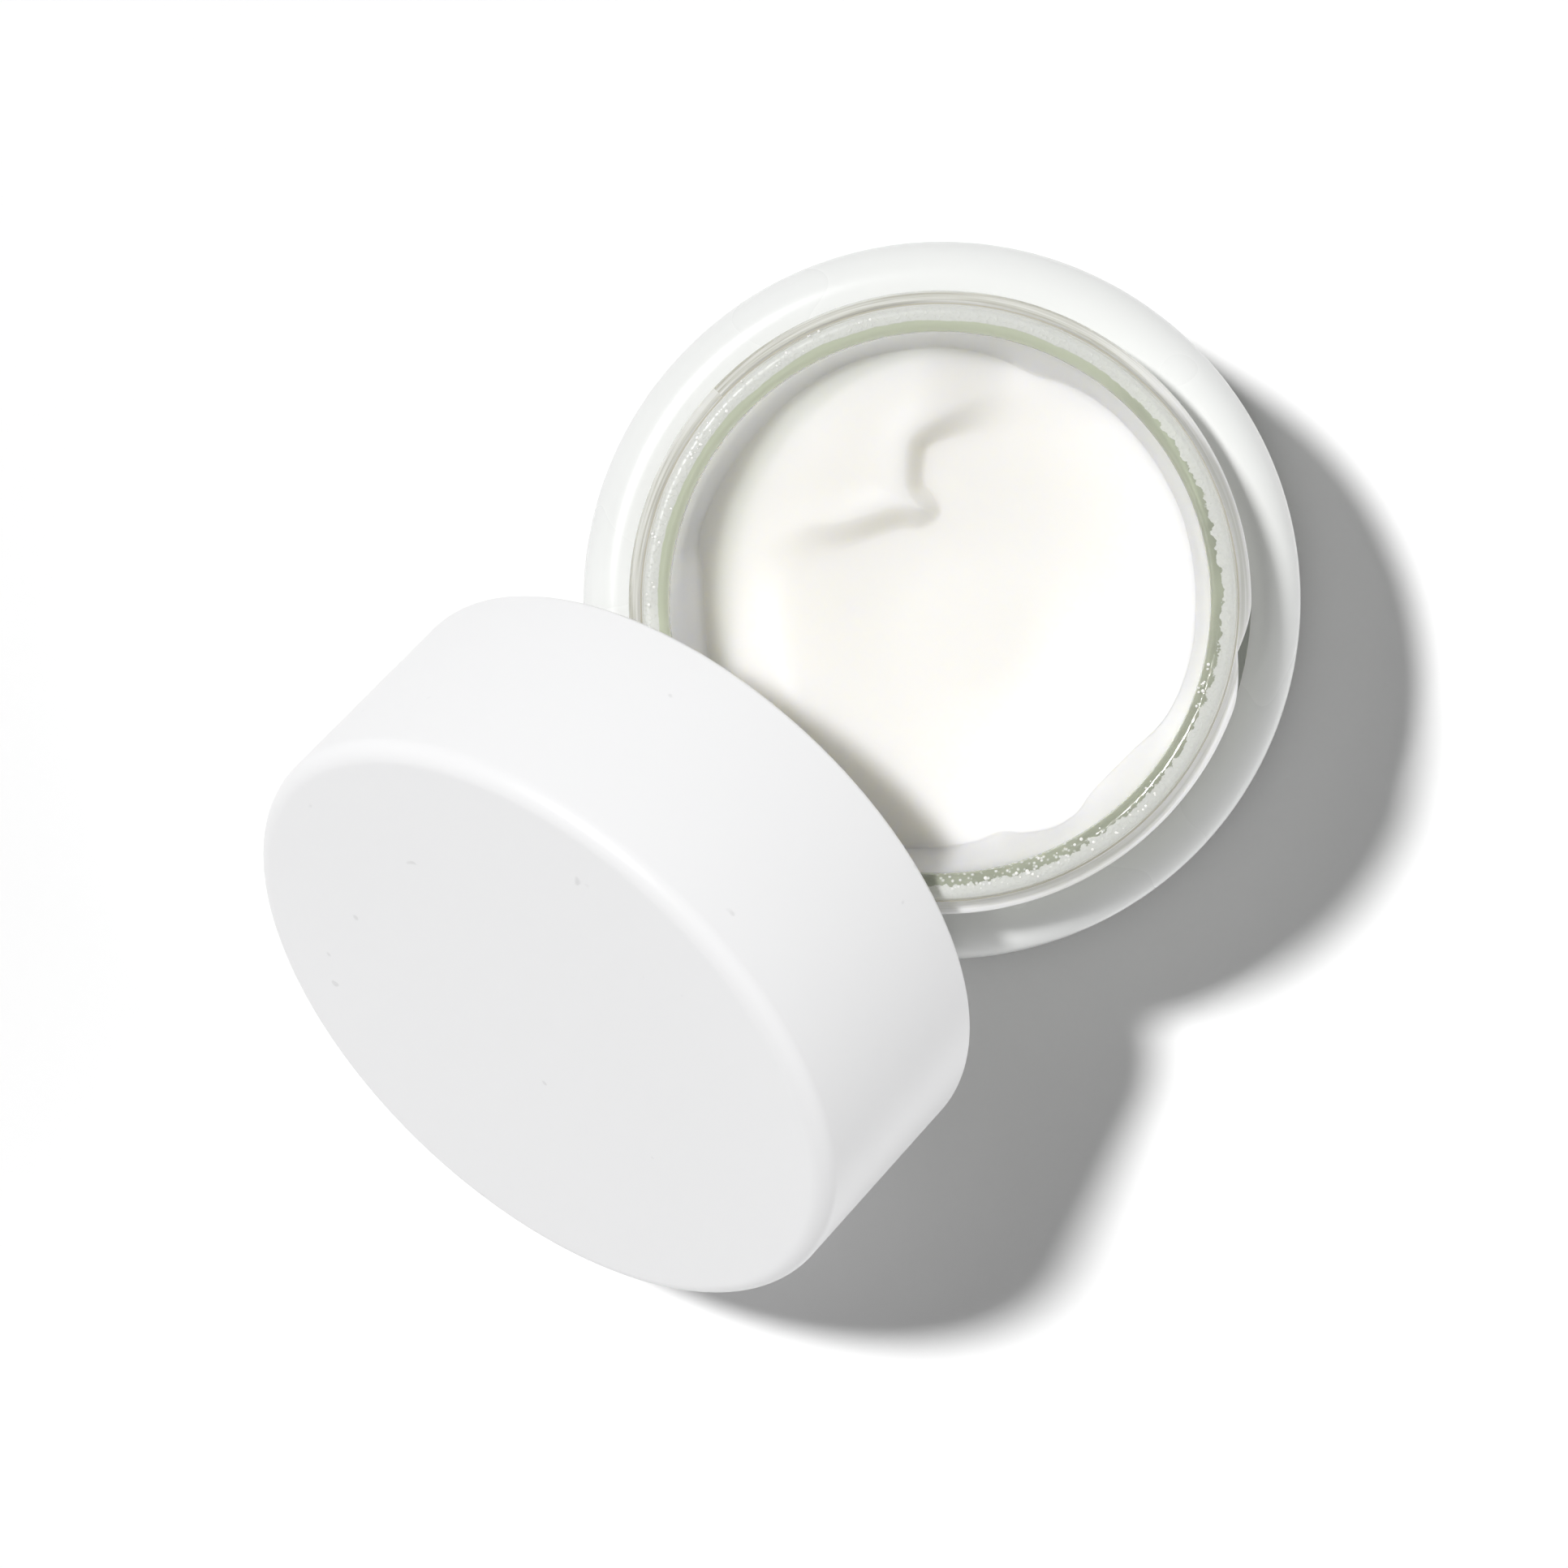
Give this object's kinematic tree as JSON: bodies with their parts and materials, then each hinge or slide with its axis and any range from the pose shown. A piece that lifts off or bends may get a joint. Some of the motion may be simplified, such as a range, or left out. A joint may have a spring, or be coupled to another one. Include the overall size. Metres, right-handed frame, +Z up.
{
  "type": "cosmetic cream jar",
  "caption": "Open lacquered glass cream jar with a clear screw neck and scooped cream inside, its white cap leaning on the neck.",
  "frame": {"origin": "centre of the jar's foot, on the table", "axes": "+Z up along the jar's axis; the cap leans towards -Y, its axis in the YZ plane"},
  "size_m": [0.061, 0.0966, 0.0605],
  "materials": {
    "clear_glass": "polished",
    "white_lacquer": "satin gloss",
    "cream": "soft sheen",
    "cap_white": "satin",
    "inner_white": "satin",
    "foam": "matt"
  },
  "bodies": {
    "jar": {"glass_jar": "clear_glass", "jar_coating": "white_lacquer", "cream": "cream"},
    "seal": {"sealing_disc": "foam"},
    "cap": {"cap_shell": "cap_white", "cap_inner": "inner_white"}
  },
  "joints": [
    {"name": "cap_tip", "type": "hinge", "parent": "jar", "child": "seal", "pos_m": [0, -0.04946, 0.0005], "axis": [1, 0, 0], "range_deg": [0, 34.9]},
    {"name": "cap_turn", "type": "hinge", "parent": "seal", "child": "cap", "pos_m": [0, -0.03218, 0.02441], "axis": [0, -0.8202, 0.5721], "continuous": true}
  ]
}
